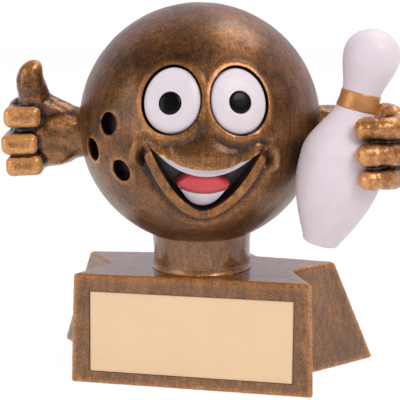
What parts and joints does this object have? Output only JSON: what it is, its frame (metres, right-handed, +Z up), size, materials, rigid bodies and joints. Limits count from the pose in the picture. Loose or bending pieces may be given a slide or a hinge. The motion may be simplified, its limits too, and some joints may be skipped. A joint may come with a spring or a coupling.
{
  "type": "bowling trophy",
  "caption": "Desk award: a bronzed bowling ball with a smiling face on a star-shaped plinth, one hand thumb up, the other holding a white pin, with a blank engraving plate.",
  "frame": {"origin": "underside of the felt pad, on the axis of the neck and its dowel", "axes": "+Z up, the plate and the face look towards -Y, the hand with the pin is on the +X side"},
  "size_m": [0.0995, 0.0772, 0.095],
  "materials": {
    "antique_bronze": "cast resin, dark brown rubbed with bronze paint, clear gloss lacquer",
    "rubbed_bronze": "cast resin, brighter rubbed bronze paint, satin lacquer",
    "felt": "pressed felt",
    "adhesive": "double-sided foam sheet",
    "satin_gold": "anodised, light satin gold",
    "steel": "plain drawn rod",
    "dark_enamel": "dark brown enamel",
    "white_enamel": "gloss white enamel",
    "pink_enamel": "gloss pink enamel",
    "black_enamel": "gloss black enamel",
    "pin_white": "satin white paint",
    "band_gold": "gold paint"
  },
  "bodies": {
    "root": {"star_base": "antique_bronze", "felt_pad": "felt", "plate_adhesive": "adhesive", "engraving_plate": "satin_gold", "neck": "antique_bronze", "centre_dowel": "steel", "ball_head": "antique_bronze", "mouth_lining": "dark_enamel", "upper_teeth": "white_enamel", "tongue": "pink_enamel", "lower_teeth": "white_enamel", "left_eye_white": "white_enamel", "right_eye_white": "white_enamel", "left_pupil": "black_enamel", "right_pupil": "black_enamel", "thumb_up_hand": "rubbed_bronze", "thumb_up_wrist_peg": "steel", "pin_hand": "rubbed_bronze", "pin_hand_wrist_peg": "steel", "pin_body": "pin_white", "pin_neck_band": "band_gold", "pin_peg": "steel"}
  },
  "joints": []
}
